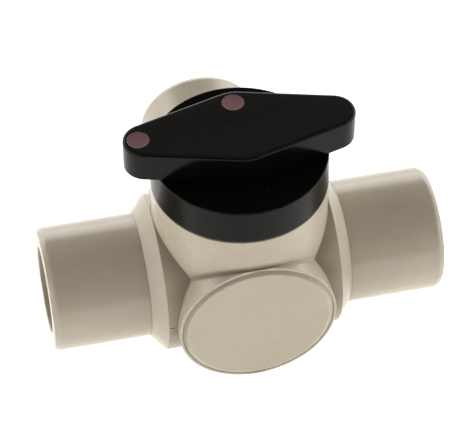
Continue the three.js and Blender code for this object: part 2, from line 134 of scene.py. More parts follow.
# Stops: a lug under the disc runs in the neck's recess between two ribs
RECESS_RIM, RECESS_HUB, RECESS_DEPTH, LUG_SIDE_ROOM = 2.3, 1.6, 4.4, 0.6
HANDLE_TRAVEL, LUG_ANGLE, LUG_SPAN, RIB_SPAN, STOP_SLACK = 90, 225, 16, 10, 0.6  # degrees

# Disc, and the grip that hooks into it by two prongs
DISC_THICK, DISC_DRAFT, DISC_LIFT, HUB_WALL = 2.55, 0.15, 0.4, 2.0
SKIRT_WALL, SKIRT_GAP = 1.7, 0.3
GRIP_TIP_R, GRIP_CORNER_R, GRIP_EASE, GRIP_FOOT = 3.45, 6.0, 0.55, 0.18
PRONG_GAP, PRONG_LENGTH, PRONG_THICK, PRONG_PLAY = 1.0, 3.0, 1.8, 0.1
PRONG_HOOK, HOOK_HEIGHT = 0.65, 0.8
MARKER_RIM, MARKER_DISH = 0.3, 0.03

# Screw
SCREW_R, SCREW_HEAD, SCREW_HOLE, HEX_R, HEX_DEPTH = 1.5, 1.2, 6.2, 1.1, 0.8
THREAD_PITCH, THREAD_DEPTH, THREAD_SHANK = 0.5, 0.25, 0.6

skirt_base = neck_top + SKIRT_GAP
cavity_r = ball_r + BALL_CLEAR
seat_back = seat_high[0]
seat_r = seat_high[2]
pocket_floor = seat_back + SEAT_CORD + 2 * SEAM
seat_pocket_r = seat_r + PRESS
nose_r = seat_pocket_r + NOSE_WALL
nose_tip = nose_r + NOSE_GAP
shoulder_r, shoulder = cavity_r - PRESS, cavity_r + SEAM
seat_bore_r = WATER_R + SEAT_RELIEF
seat_face_r = seat_bore_r + SEAT_LAND
bowl_r = math.hypot(seat_face_r, seat_low[0])
stem_bore_r = STEM_R + RUN_FIT
collar_r = STEM_R + COLLAR_PROUD
collar_base = ball_r + BALL_TO_COLLAR
collar_top = collar_base + COLLAR_HEIGHT
roof = washer_high[2] + SEAM
bush_r = bush_high[0]
recess_floor = neck_top - RECESS_DEPTH
recess_out, recess_in = neck_r - RECESS_RIM, bush_r + SEAM + RECESS_HUB
disc_under = disc_top - DISC_THICK
square = (STEM_R * math.sqrt(2) - SQUARE_RELIEF) / 2
socket_half = square + SOCKET_PLAY
hub_r = socket_half * math.sqrt(2) + HUB_WALL
screw_low, screw_high = corners("handle_screw")
head_r, head_top = screw_high[0], screw_high[2]
head_under = head_top - SCREW_HEAD
screw_washer_low, screw_washer_high = corners("screw_washer")
screw_seat = screw_washer_low[2] - SEAM
socket_top = screw_seat - SOCKET_ROOF
prong_x = hub_r + PRONG_GAP + PRONG_LENGTH / 2
bodies = frame["record"]["behaviour"]["bodies"]
body_with = {node: body for body, nodes in bodies.items() for node in nodes}

# ---------- nodes ----------


def both_ways(operation):
    """An operator on a wire, and its reflected form for a number on the left."""
    return (lambda wire, other: wire.sum_of(operation, wire, other),
            lambda wire, other: wire.sum_of(operation, other, wire))


class Wire:
    """A node's output, so that sums on node values read as plain arithmetic."""

    def __init__(self, bench, socket):
        self.bench, self.socket = bench, socket

    def sum_of(self, operation, *terms):
        return self.bench.node("ShaderNodeMath", {"operation": operation},
                               **{f"i{i}": term for i, term in enumerate(terms)})

    __add__, __radd__ = both_ways("ADD")
    __sub__, __rsub__ = both_ways("SUBTRACT")
    __mul__, __rmul__ = both_ways("MULTIPLY")
    __truediv__, __rtruediv__ = both_ways("DIVIDE")
    __pow__, __rpow__ = both_ways("POWER")

    def clipped(self, low=0.0, high=1.0):
        """Runs from 0 at low to 1 at high, softly, and stays there."""
        return self.bench.node("ShaderNodeMapRange", {"interpolation_type": "SMOOTHSTEP"},
                               Value=self, From_Min=low, From_Max=high)

    def size(self):
        return self.sum_of("ABSOLUTE", self)

    def least(self, other):
        return self.sum_of("MINIMUM", self, other)

    def most(self, other):
        return self.sum_of("MAXIMUM", self, other)

    def rounded(self):
        return self.sum_of("ROUND", self)

    def sine(self):
        return self.sum_of("SINE", self)

    def cosine(self):
        return self.sum_of("COSINE", self)


class Bench:
    """A node tree that nodes are added to."""

    def __init__(self, tree):
        self.tree = tree

    def node(self, kind, settings=None, out=0, **inputs):
        """A node with its settings and its inputs' values or wires, named or numbered i0, i1, ...

        Gives the wire of output out, or a list of wires where out is a tuple.
        """
        made = self.tree.nodes.new(kind)
        for key, value in (settings or {}).items():
            setattr(made, key, value)
        for key, value in inputs.items():
            numbered = key[0] == "i" and key[1:].isdigit()
            target = made.inputs[int(key[1:]) if numbered else key.replace("_", " ")]
            if isinstance(value, Wire):
                self.tree.links.new(value.socket, target)
            else:
                target.default_value = value
        if isinstance(out, tuple):
            return [Wire(self, made.outputs[each]) for each in out]
        return Wire(self, made.outputs[out])

    def blend(self, share, first, second):
        """Colour between two colours."""
        return self.node("ShaderNodeMix", {"data_type": "RGBA"}, out=2,
                         i0=share, i6=first, i7=second)

    def parts_of(self, vector):
        return self.node("ShaderNodeSeparateXYZ", out=(0, 1, 2), i0=vector)


# ---------- making meshes ----------

AXIS = {  # turns a piece made about +Z to lie along its own axis
    "z": Matrix.Identity(3),
    "x": Matrix(((0, 0, 1), (1, 0, 0), (0, 1, 0))),
    "-x": Matrix(((0, 0, -1), (-1, 0, 0), (0, 1, 0))),
    "y": Matrix(((1, 0, 0), (0, 0, 1), (0, -1, 0))),
    "-y": Matrix(((-1, 0, 0), (0, 0, -1), (0, -1, 0))),
}


def mesh_of(name, points, faces):
    """A mesh from points in millimetres."""
    mesh = bpy.data.meshes.new(name)
    mesh.from_pydata((np.asarray(points, float) * MM).tolist(), [], faces)
    mesh.update()
    return mesh


def closed(mesh):
    """Welds doubles and turns every face outwards."""
    work = bmesh.new()
    work.from_mesh(mesh)
    bmesh.ops.remove_doubles(work, verts=work.verts, dist=WELD)
    bmesh.ops.dissolve_degenerate(work, edges=work.edges, dist=1e-7)
    bmesh.ops.recalc_face_normals(work, faces=work.faces)
    if work.calc_volume(signed=True) < 0:
        bmesh.ops.reverse_faces(work, faces=work.faces)
    work.to_mesh(mesh)
    work.free()
    return mesh


def eased(profile):
    """Rounds the corners of a profile of (along, radius, ease), with a line beside each round."""
    points = [tuple(p) + (0,) * (3 - len(p)) for p in profile]
    made = []
    for i, (along, radius, ease) in enumerate(points):
        here = np.array((along, radius), float)
        if not ease:
            made.append(here)
            continue
        before = np.array(points[i - 1][:2]) - here
        after = np.array(points[(i + 1) % len(points)][:2]) - here
        reach = min(ease, 0.42 * np.linalg.norm(before), 0.42 * np.linalg.norm(after))
        start = before / np.linalg.norm(before) * reach
        end = after / np.linalg.norm(after) * reach
        made.append(here + start * 1.12)
        for t in np.linspace(0, 1, 6):
            made.append(here + start * (1 - t) ** 2 + end * t ** 2)
        made.append(here + end * 1.12)
    return made


def ring_profile(mean_r, cord, along, steps=20):
    """Round section of an O-ring."""
    turn = np.linspace(0, 2 * math.pi, steps, endpoint=False)
    return [(along + cord / 2 * math.cos(a), mean_r + cord / 2 * math.sin(a)) for a in turn]


def turning_tree():
    """Geometry nodes that turn the source's profile, points in its XZ plane, about Z."""
    tree = bpy.data.node_groups.new("turned piece", "GeometryNodeTree")
    tree.is_modifier = True
    for name, kind in (("Profile", "Geometry"), ("Profile points", "Int"), ("Facets", "Int"),
                       ("Finish", "Material")):
        tree.interface.new_socket(name, in_out="INPUT", socket_type="NodeSocket" + kind)
    tree.interface.new_socket("Piece", in_out="OUTPUT", socket_type="NodeSocketGeometry")
    bench = Bench(tree)
    profile, rows, facets, finish = bench.node("NodeGroupInput", out=(0, 1, 2, 3))
    grid = bench.node("GeometryNodeMeshGrid", i0=rows - 1.0, i1=facets, i2=rows, i3=facets + 1.0)
    place = bench.node("GeometryNodeInputPosition")
    down, across, _ = bench.parts_of(place)
    row = (down + (rows - 1.0) * 0.5).rounded()
    angle = (across + facets * 0.5) / facets * (2 * math.pi)
    sample = bench.node("GeometryNodeSampleIndex", {"data_type": "FLOAT_VECTOR", "domain": "POINT"},
                        Geometry=profile, Value=place, Index=row)
    radius, _, along = bench.parts_of(sample)
    around = bench.node("ShaderNodeCombineXYZ",
                        X=radius * angle.cosine(), Y=radius * angle.sine(), Z=along)
    moved = bench.node("GeometryNodeSetPosition", Geometry=grid, Position=around)
    welded = bench.node("GeometryNodeMergeByDistance", Geometry=moved, Distance=WELD)
    real = bench.node("GeometryNodeRealizeInstances", Geometry=welded)
    done = bench.node("GeometryNodeSetMaterial", Geometry=real, Material=finish)
    bench.node("NodeGroupOutput", out=(), Piece=done)
    return tree


def set_input(modifier, tree, name, value):
    found = next(s for s in tree.interface.items_tree
                 if getattr(s, "in_out", "") == "INPUT" and s.name == name)
    modifier[found.identifier] = value


TURNING = turning_tree()


def linked(name, data):
    """A new object, in the scene."""
    made = bpy.data.objects.new(name, data)
    bpy.context.scene.collection.objects.link(made)
    return made


def settled(carrier):
    """The mesh that an object's modifiers make."""
    view = bpy.context.evaluated_depsgraph_get()
    return bpy.data.meshes.new_from_object(carrier.evaluated_get(view))


def turned(profile, axis="z", facets=FACETS, finish=None):
    """A turned solid's mesh. Its profile of (along, radius, ease) closes on the axis or itself."""
    points = eased(profile)
    if profile[0][1] or profile[-1][1]:
        points = points + [points[0]]
    source = mesh_of("profile", [(r, 0, a) for a, r in points], [])
    carrier = linked("profile", source)
    modifier = carrier.modifiers.new("turn", "NODES")
    modifier.node_group = TURNING
    set_input(modifier, TURNING, "Profile points", len(points))
    set_input(modifier, TURNING, "Facets", facets)
    set_input(modifier, TURNING, "Finish", finish)
    solid = settled(carrier)
    bpy.data.objects.remove(carrier)
    bpy.data.meshes.remove(source)
    solid.transform(AXIS[axis].to_4x4())
    return closed(solid)


def rod(radius, start, end, axis="z", facets=INNER_FACETS):
    return turned([(start, 0), (start, radius), (end, radius), (end, 0)], axis, facets)


def tube(inner, outer, start, end, axis="z", facets=INNER_FACETS):
    return turned([(start, inner), (start, outer), (end, outer), (end, inner)], axis, facets)


def prism(outline, z0, z1):
    """A straight prism on an outline of (x, y)."""
    n = len(outline)
    points = [(x, y, z) for z in (z0, z1) for x, y in outline]
    faces = [(i, (i + 1) % n, n + (i + 1) % n, n + i) for i in range(n)]
    return closed(mesh_of("prism", points, faces + [tuple(range(n))[::-1], tuple(range(n, 2 * n))]))


def block(x0, x1, y0, y1, z0, z1):
    return prism([(x0, y0), (x1, y0), (x1, y1), (x0, y1)], z0, z1)


def sector(inner, outer, middle, span, z0, z1, steps=12):
    """Part of a ring, between two radii and two angles in degrees."""
    turn = np.radians(np.linspace(middle - span / 2, middle + span / 2, steps + 1))
    outline = [(outer * math.cos(a), outer * math.sin(a)) for a in turn]
    outline += [(inner * math.cos(a), inner * math.sin(a)) for a in turn[::-1]]
    return prism(outline, z0, z1)


def combined(mesh, others, operation):
    """The mesh joined with the others, or cut by them, one after another."""
    for other in others:
        base, tool = linked("base", mesh), linked("tool", other)
        modifier = base.modifiers.new("combine", "BOOLEAN")
        modifier.solver = "MANIFOLD"
        modifier.operation = operation
        modifier.object = tool
        mesh = settled(base)
        bpy.data.objects.remove(base)
        bpy.data.objects.remove(tool)
    return mesh


def dressed(name, mesh, node, finish):
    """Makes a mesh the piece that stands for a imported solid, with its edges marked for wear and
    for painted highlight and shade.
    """
    work = bmesh.new()
    work.from_mesh(mesh)
    bmesh.ops.remove_doubles(work, verts=work.verts, dist=3e-7)
    edge_layer = work.verts.layers.float.new("edge")
    share = np.zeros(len(work.verts))
    curve = np.zeros(len(work.verts))
    work.verts.index_update()
    for face in work.faces:
        patch = face.calc_area() / len(face.verts) / MM ** 2
        for vert in face.verts:
            share[vert.index] += patch
    for edge in work.edges:
        bend = edge.calc_face_angle_signed(0.0)
        edge.smooth = abs(bend) < SHARP
        for vert in edge.verts:
            curve[vert.index] += bend * edge.calc_length() / MM / 2
            if abs(bend) > 0.1 and abs(bend) > abs(vert[edge_layer]) * 0.8:
                vert[edge_layer] = max(-1.0, min(1.0, bend / 0.8))
    curve /= np.maximum(share, 1e-4)  # a round of radius r gives 1 / r
    for vert in work.verts:
        mark = max(-1.0, min(1.0, float(curve[vert.index]) * 0.3))
        if abs(mark) > max(abs(vert[edge_layer]), 0.1):
            vert[edge_layer] = mark
    for face in work.faces:
        face.smooth = True
        face.material_index = 0
    work.to_mesh(mesh)
    work.free()
    mesh.materials.clear()
    mesh.materials.append(finish)
    mesh.name = name
    mesh.transform(Matrix.Translation(cross))
    piece = linked(name, mesh)
    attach(piece, body_with[node])
    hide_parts(node)
    return piece


# ---------- finishes ----------


class Finish(Bench):
    """One material, built from nodes on the piece's own coordinates."""

    def __init__(self, name, **constants):
        self.material = bpy.data.materials.new(name)
        self.material.use_nodes = True
        super().__init__(self.material.node_tree)
        self.shader = self.tree.nodes["Principled BSDF"]
        for key, value in constants.items():
            self.shader.inputs[key.replace("_", " ")].default_value = value
        self.place = self.node("ShaderNodeTexCoord", out="Object")

    def noise(self, grain, detail=3.0, roughness=0.55):
        """Noise whose features are about grain millimetres across."""
        return self.node("ShaderNodeTexNoise", Vector=self.place, Scale=1 / (grain * MM),
                         Detail=detail, Roughness=roughness)

    def split(self):
        """Millimetres from where the axes cross."""
        return [(s - c) / MM for s, c in zip(self.parts_of(self.place), cross)]

    def edges(self):
        """How convex the surface is beside an edge, and how hollow."""
        marks = self.node("ShaderNodeAttribute", {"attribute_name": "edge"}, out="Fac")
        return marks.clipped(0.05, 0.6), (0.0 - marks).clipped(0.05, 0.6)

    def specks(self, spacing, size, share):
        """Round specks of a given size, on a share of the cells."""
        distance, tint = self.node("ShaderNodeTexVoronoi", out=("Distance", "Color"),
                                   Vector=self.place, Scale=1 / (spacing * MM))
        near = 1 - distance.clipped(size / spacing * 0.5, size / spacing)
        pick = self.node("ShaderNodeSeparateColor", Color=tint)
        return near * pick.clipped(1 - share, 1 - share + 0.02)

    def scratches(self, length, width, share, turn):
        """Thin broken lines that run one way."""
        along = self.node("ShaderNodeMapping", Vector=self.place, Rotation=turn,
                          Scale=(1 / length, 1 / width, 1 / width))
        lines = self.node("ShaderNodeTexNoise", Vector=along, Scale=1 / MM,
                          Detail=1.0, Roughness=0.4)
        return lines.clipped(1 - share, 1 - share + 0.03)

    def done(self, colour, roughness, height=None, strength=0.25, depth=0.02):
        """Joins the wires to the shader. depth is the bump's height in millimetres."""
        self.tree.links.new(colour.socket, self.shader.inputs["Base Color"])
        self.tree.links.new(roughness.socket, self.shader.inputs["Roughness"])
        if height is not None:
            bump = self.node("ShaderNodeBump", Height=height, Strength=strength,
                             Distance=depth * MM)
            self.tree.links.new(bump.socket, self.shader.inputs["Normal"])
        return self.material


def shade(*rgb):
    """A colour from its display values, 0 to 255."""
    linear = [(c / 255 / 12.92) if c < 10.3 else ((c / 255 + 0.055) / 1.055) ** 2.4 for c in rgb]
    return (*linear, 1)


def mould_skin(finish, pale, deep, worn_and_highlight, roughness, sheen_cloud=0.07):
    """Colour, roughness and height that every moulded plastic here shares."""
    cloud = finish.noise(14, 3)
    mottle = finish.noise(2.2, 4, 0.6)
    grain = finish.noise(0.12, 3, 0.6)
    convex, hollow = finish.edges()
    # Convex edges turn lighter: partly wear, partly a painted highlight along the rims.
    rub_and_highlight = convex * finish.noise(1.3, 4, 0.65).clipped(0.35, 0.62)
    tone = (cloud * 0.6 + mottle * 0.4).clipped(0.35, 0.65)
    colour = finish.blend(tone, pale, deep)
    colour = finish.blend(rub_and_highlight * 0.55, colour, worn_and_highlight)
    # Creases and hollows are painted darker and redder, as shade.
    crease_shade = tuple(c * share for c, share in zip(deep, (0.5, 0.44, 0.38, 1)))
    colour = finish.blend(hollow * 0.6, colour, crease_shade)
    rough = (roughness + (cloud - 0.5) * sheen_cloud + (grain - 0.5) * 0.05
             + hollow * 0.12 - rub_and_highlight * 0.05)
    height = grain * 0.25 + mottle * 0.35 + cloud * 0.4
    return colour, rough, height


def housing_finish():
    finish = Finish("housing_plastic", IOR=1.49)
    colour, rough, height = mould_skin(finish, shade(198, 188, 167), shade(190, 179, 158),
                                       shade(216, 209, 195), 0.27)
    x, y, z = finish.split()
    # Gate mark on the run's front, by the left collar, with the rubbed patch below it.
    front = 1 - (y + 0.5).clipped(0.0, 0.2)
    gate = front * (1 - (x + 13.5).size().clipped(0.38, 0.5))
    gate = gate * (1 - (z - 0.45).size().clipped(0.07, 0.2))
    patch = front * (1 - (x + 13.2).size().clipped(0.3, 0.6))
    patch = patch * (1 - (z + 0.5).size().clipped(0.4, 0.8))
    colour = finish.blend(gate * 0.95, colour, shade(52, 42, 30))
    colour = finish.blend(patch * finish.noise(0.5, 2) * 0.9, colour, shade(150, 136, 108))
    # Painted shade darkens the front's corners, most of all where the neck runs into the boss.
    off_neck = ((x * x + y * y) ** 0.5 - neck_r).size()
    off_branch = ((x * x + z * z) ** 0.5 - run_r).size()
    off_run = ((y * y + z * z) ** 0.5 - run_r).size()
    middle = 1 - (x + 3.5).size().clipped(4.5, 8.5)
    corner = (1 - off_neck.clipped(0.1, 0.4)) * (1 - off_branch.clipped(0.1, 1.2)) * middle
    # Painted shade also falls on the run's skin beside the neck and the branch.
    wedge = (1 - off_run.clipped(0.02, 0.2)) * (1 - off_branch.least(off_neck).clipped(0.0, 4.0))
    painted_shade = (corner * 0.95).most(wedge * 0.5) * front
    colour = finish.blend(painted_shade, colour, shade(120, 106, 84))
    # The parting line runs up the neck, front and back.
    parting = (1 - x.size().clipped(0.03, 0.1)) * (z - 4).clipped(0.0, 0.5)
    height = height + parting * 0.5 - gate * 1.5
    return finish.done(colour, rough + patch * 0.1, height, 0.25, 0.03)


def plug_finish():
    finish = Finish("plug_plastic", IOR=1.49)
    colour, rough, height = mould_skin(finish, shade(197, 188, 167), shade(193, 183, 161),
                                       shade(218, 211, 199), 0.42)
    # Painted shade darkens the upper half of the sloping edge.
    x, _, z = finish.split()
    reach = (x * x + z * z) ** 0.5
    edge = run_r - LIP
    slope = (reach - (edge - PLUG_SLOPE)).clipped(0.0, 0.12)
    slope = slope * (1 - (reach - edge).clipped(-0.1, 0.0))
    # painted shade: darker towards the top of the slope
    painted_shade = slope * (z - x * 0.5).clipped(-2.0, 7.0) * 0.45
    return finish.done(finish.blend(painted_shade, colour, shade(128, 112, 92)), rough, height, 0.22, 0.02)


def plain_finish(name, pale, deep, worn_and_highlight, roughness, cloud=0.07, ior=1.49, bump=0.25, depth=0.02):
    """Moulded plastic or rubber with nothing on it but its own skin."""
    finish = Finish(name, IOR=ior)
    colour, rough, height = mould_skin(finish, pale, deep, worn_and_highlight, roughness, cloud)
    return finish.done(colour, rough, height, bump, depth)


def disc_finish():
    finish = Finish("disc_plastic", IOR=1.5, Specular_IOR_Level=0.14)
    colour, rough, height = mould_skin(finish, shade(13, 12, 9), shade(10, 10, 8),
                                       shade(40, 38, 36), 0.16, 0.04)
    dust = finish.specks(2.6, 0.16, 0.16)
    colour = finish.blend(dust * 0.8, colour, shade(96, 92, 88))
    x, y, z = finish.split()
    skirt = 1 - (z - (disc_top - 0.25)).clipped(0.0, 0.15)
    # A small raised oval, the mould's ejector mark, on the skirt's front.
    oval = ((x * x / 1.7 + (z - (disc_top - 2.6)) ** 2 / 0.5) ** 0.5 - 0.9).size()
    ring = (1 - oval.clipped(0.05, 0.16)) * (1 - (y + 10).clipped(0.0, 0.5))
    rough = rough + dust * 0.4 + skirt * 0.08
    return finish.done(colour, rough, height + ring * 3.0, 0.16, 0.02)


def grip_finish():
    finish = Finish("grip_plastic", IOR=1.5, Specular_IOR_Level=0.15)
    colour, rough, height = mould_skin(finish, shade(15, 14, 12), shade(12, 11, 10),
                                       shade(22, 21, 19), 0.3, 0.03)
    # The sides come smoother off the mould than the top, and are painted darker as shade.
    _, _, z = finish.split()
    flank = 1 - (z - (grip_top - 0.3)).clipped(0.0, 0.15)
    colour = finish.blend(flank, colour, shade(11, 10, 9))
    rough = rough - flank * 0.14
    dust = finish.specks(2.1, 0.14, 0.14)
    lines = (finish.scratches(4.0, 0.16, 0.27, (0, 0, 0.5))
             + finish.scratches(3.0, 0.14, 0.26, (0, 0, -0.9))
             + finish.scratches(2.4, 0.15, 0.26, (0, 0, 1.7)))
    lines = lines.least(1.0) * finish.noise(6, 2).clipped(0.5, 0.66)
    colour = finish.blend(dust * 0.7, colour, shade(92, 88, 84))
    colour = finish.blend(lines * 0.12, colour, shade(70, 67, 64))
    rough = rough + dust * 0.3 + lines * 0.15
    return finish.done(colour, rough, height - lines * 0.4, 0.06, 0.02)


def steel_finish():
    finish = Finish("screw_steel", Metallic=1.0)
    colour, rough, height = mould_skin(finish, shade(196, 197, 199), shade(176, 178, 182),
                                       shade(222, 222, 222), 0.3)
    lines = finish.scratches(2.0, 0.05, 0.3, (0, 0, 0.4))
    return finish.done(colour, rough + lines * 0.15, height + lines * 0.3, 0.2, 0.01)


HOUSING = housing_finish()
PLUG = plug_finish()
DISC = disc_finish()
GRIP = grip_finish()
STEEL = steel_finish()
CONNECTOR = plain_finish("connector_plastic", shade(197, 187, 167), shade(190, 179, 159),
                         shade(218, 211, 199), 0.21, cloud=0.04, bump=0.15)
MARKER = plain_finish("marker_plastic", shade(120, 76, 78), shade(102, 65, 67),
                      shade(120, 102, 100), 0.42, bump=0.3, depth=0.03)
RUBBER = plain_finish("seal_rubber", shade(36, 33, 32), shade(26, 24, 24),
                      shade(70, 66, 64), 0.58, ior=1.52, bump=0.35)
SEAT = plain_finish("seat_plastic", shade(232, 230, 224), shade(222, 219, 211),
                    shade(246, 245, 242), 0.4, ior=1.38)
BALL = plain_finish("ball_plastic", shade(200, 193, 175), shade(192, 185, 166),
                    shade(222, 217, 205), 0.2)
STEM = plain_finish("stem_plastic", shade(198, 191, 173), shade(190, 183, 164),
                    shade(220, 215, 203), 0.32)

# ---------- housing ----------

RUN_CORNER, NECK_CORNER = 0.22, 0.16  # fillets, run to branch and run to neck
FRONT_CORNER = 0.12, 0.42, 0.3  # branch to neck: tightest and widest in front, and behind
RIM_EASE, ARM_EASE, BOSS_EASE = 0.12, 0.05, 0.16
NECK_FROM = 4  # level above which the neck shapes the skin
FAR = 10.0


def creases():
    """Lines where the arms meet: levels on the lower diagonals, and positions across the neck."""
    across = neck_r / math.sqrt(2)
    level = math.asin(math.sqrt(run_r ** 2 - across ** 2) / run_r)
    lower = np.linspace(-math.pi / 2, level, 90)
    upper = np.linspace(math.pi - level, level, 81)  # angle from +side over the top
    return lower, upper


def outer_skin():
    """The housing's outside: four arms and the neck, with shared points along their creases."""
    lower, upper = creases()
    points, faces = [], []

    def lay(columns):
        """Quads between the columns of one arm, which closes round on itself."""
        count = len(columns[0])
        base = len(points)
        for column in columns:
            points.extend(column)
        n = len(columns)
        for i in range(n):
            j = (i + 1) % n
            for k in range(count - 1):
                faces.append((base + i * count + k, base + j * count + k,
                              base + j * count + k + 1, base + i * count + k + 1))
        faces.append(tuple(base + i * count + count - 1 for i in range(n)))

    def spaced(length, rows=34):
        """Distances from the crease, close together beside it."""
        k = 3.4 * (1 - math.exp(-length / 4)) + 0.02
        u = np.linspace(0, 1, rows)
        return length * (np.exp(k * u) - 1) / (math.exp(k) - 1)

    def arm(end, ease, placed):
        """One horizontal arm: (side, up) round its section, measured outwards."""
        across, high = run_r * np.cos(lower), run_r * np.sin(lower)
        around = list(zip(-across, high, across))
        around += [(run_r * math.cos(a), run_r * math.sin(a),
                    math.sqrt(neck_r ** 2 - (run_r * math.cos(a)) ** 2)) for a in upper[1:-1]]
        around += list(zip(across, high, across))[:0:-1]
        columns = []
        for side, up, start in around:
            last = max(end - ease, start + 0.35 * (end - start))
            column = [placed(side, up, start + d) for d in spaced(last - start)]
            for t in np.linspace(0.12, 1, 7):
                a = t * math.pi / 2
                shrink = 1 - ease / run_r * (1 - math.cos(a))
                column.append(placed(side * shrink, up * shrink, last + (end - last) * math.sin(a)))
            shrink = 1 - (ease + 0.08) / run_r
            column.append(placed(side * shrink, up * shrink, end))
            columns.append(column)
        lay(columns)

    arm(run_end, ARM_EASE, lambda side, up, out: (out, side, up))
    arm(run_end, ARM_EASE, lambda side, up, out: (-out, side, up))
    arm(branch_end, ARM_EASE, lambda side, up, out: (side, out, up))
    arm(front_end, BOSS_EASE, lambda side, up, out: (side, -out, up))

    rim = []
    for k in range(4):
        turn = k * math.pi / 2
        for a in upper[:0:-1]:
            side = run_r * math.cos(a)
            out = math.sqrt(neck_r ** 2 - side ** 2)
            x = out * math.cos(turn) + side * math.sin(turn)
            y = out * math.sin(turn) - side * math.cos(turn)
            rim.append((x, y, run_r * math.sin(a)))
    rim = rim[::-1]
    columns = []
    for x, y, low in rim:
        column = [(x, y, low + d) for d in spaced(neck_top - RIM_EASE - low, 30)]
        for t in np.linspace(0.15, 1, 5):
            a = t * math.pi / 2
            shrink = 1 - RIM_EASE / neck_r * (1 - math.cos(a))
            column.append((x * shrink, y * shrink,
                           neck_top - RIM_EASE + RIM_EASE * math.sin(a)))
        columns.append(column)
    lay(columns)
    return np.array(points), faces


def filleted(points):
    """Moves the skin beside its creases on to a smooth union of the cylinders."""
    def away(p, q):
        """Unit vector from an axis, for the two coordinates across it."""
        reach = np.maximum(np.hypot(p, q), 1e-9)
        return p / reach, q / reach

    moved = points.copy()
    inside = ((np.abs(points[:, 0]) < run_end - 0.02) & (points[:, 1] < branch_end - 0.02)
              & (points[:, 1] > -front_end + 0.18) & (points[:, 2] < neck_top - 0.3))
    for _ in range(6):
        x, y, z = moved.T
        run = np.hypot(y, z) - run_r
        branch = np.hypot(x, z) - run_r
        neck = np.where(z > NECK_FROM, np.hypot(x, y) - neck_r, FAR)
        # The front corner is tight where the boss barely clears the neck, and opens beside it.
        room = front_end - np.sqrt(np.maximum(neck_r ** 2 - x ** 2, 0))
        tight, wide, back = FRONT_CORNER
        soft = np.where(y < 0, np.clip(tight + 0.2 * room, tight, wide), back)
        zero = 0 * x
        run_y, run_z = away(y, z)
        branch_x, branch_z = away(x, z)
        neck_x, neck_y = away(x, y)
        along_run = run, np.stack([zero, run_y, run_z], 1)
        along_branch = branch, np.stack([branch_x, zero, branch_z], 1)
        along_neck = neck, np.stack([neck_x, neck_y, zero], 1)
        best = np.full(len(x), FAR)
        slope = np.zeros((len(x), 3))
        for (a, slope_a), (b, slope_b), r in ((along_run, along_branch, RUN_CORNER + zero),
                                              (along_branch, along_neck, soft),
                                              (along_run, along_neck, NECK_CORNER + zero)):
            p, q = np.maximum(r - a, 0), np.maximum(r - b, 0)
            reach = np.hypot(p, q)
            value = np.maximum(r, np.minimum(a, b)) - reach
            grade = p[:, None] * slope_a + q[:, None] * slope_b
            grade /= np.maximum(reach, 1e-9)[:, None]
            take = (value < best) & (reach > 1e-9)
            best = np.where(take, value, best)
            slope = np.where(take[:, None], grade, slope)
        step = (best[:, None] * slope) / np.maximum((slope ** 2).sum(1), 1e-6)[:, None]
        step[~inside | (best >= FAR)] = 0
        moved -= np.clip(step, -0.4, 0.4)
    moved[:, 2] = np.maximum(moved[:, 2], -run_r)
    return moved


def housing_piece():
    points, faces = outer_skin()
    shell = closed(mesh_of("housing", filleted(points), faces))
    apart = (LUG_SPAN + RIB_SPAN) / 2 + STOP_SLACK
    ribs = [sector(recess_in - PAST, recess_out + PAST, angle, RIB_SPAN,
                   recess_floor - PAST, neck_top + PAST)
            for angle in (LUG_ANGLE + apart, LUG_ANGLE - HANDLE_TRAVEL - apart)]
    trough = tube(recess_in, recess_out, recess_floor, neck_top + PAST)
    recess = combined(trough, ribs, "DIFFERENCE")
    mouth_r, mouth_floor = run_r - LIP, front_end - PLUG_FLANGE
    cutters = [
        rod(cavity_r, -run_end - PAST, run_end + PAST, "x"),
        rod(cavity_r, -branch_end - PAST, front_end + PAST, "-y"),
        rod(mouth_r, mouth_floor, front_end + PAST, "-y", FACETS),
        rod(collar_r + 2 * RUN_FIT, 0, roof),
        rod(stem_bore_r, 0, neck_top + PAST),
        rod(bush_r + SEAM, bush_low[2] - SEAM, neck_top + PAST),
        recess,
    ]
    return dressed("housing_body", combined(shell, cutters, "DIFFERENCE"), "housing",
                   HOUSING)


# ---------- turned pieces ----------

nose = [(pocket_floor, seat_pocket_r), (nose_tip, seat_pocket_r, 0.1), (nose_tip, nose_r, 0.2),
        (shoulder, nose_r), (shoulder, shoulder_r, 0.15)]


def connector(name, node, axis, end):
    collar_face = (branch_end if axis == "y" else run_end) + FLUSH
    profile = nose + [
        (collar_face, shoulder_r),
        (collar_face, run_r - 0.03, 0.03),
        (run_end + TAPER, SPIGOT_R, 0.12),
        (end - 0.8, SPIGOT_R, 0.35),
        (end, SPIGOT_R - 0.45, 0.18),
        (end, SPIGOT_BORE_R, 0.15),
        (pocket_floor + THROAT + THROAT_FLARE, SPIGOT_BORE_R, 0.5),
        (pocket_floor + THROAT, WATER_R, 0.5),
        (pocket_floor, WATER_R),
    ]
    return dressed(name, turned(profile, axis, finish=CONNECTOR), node,
                   CONNECTOR)


def closing_plug():
    edge = run_r - LIP - 2 * FLUSH
    flange = front_end - PLUG_FLANGE + SEAM
    profile = [(pocket_floor, 0)] + nose + [
        (flange, shoulder_r),
        (flange, edge, 0.1),
        (plug_face - PLUG_RISE, edge, 0.05),
        (plug_face, edge - PLUG_SLOPE, 0.3),
        (plug_face, 0),
    ]
    return dressed("plug", turned(profile, "-y", finish=PLUG), "closing_plug",
                   PLUG)


def inner_ring(name, node, profile, finish, axis="z"):
    """A ring turned to its section, which the other pieces mostly hide."""
    dressed(name, turned(profile, axis, INNER_FACETS, finish), node, finish)


def flat_section(inner, outer, start, end, eases):
    """Section of a flat ring, with an ease for each of its four corners."""
    corners_of = ((start, inner), (start, outer), (end, outer), (end, inner))
    return [(*corner, ease) for corner, ease in zip(corners_of, eases)]


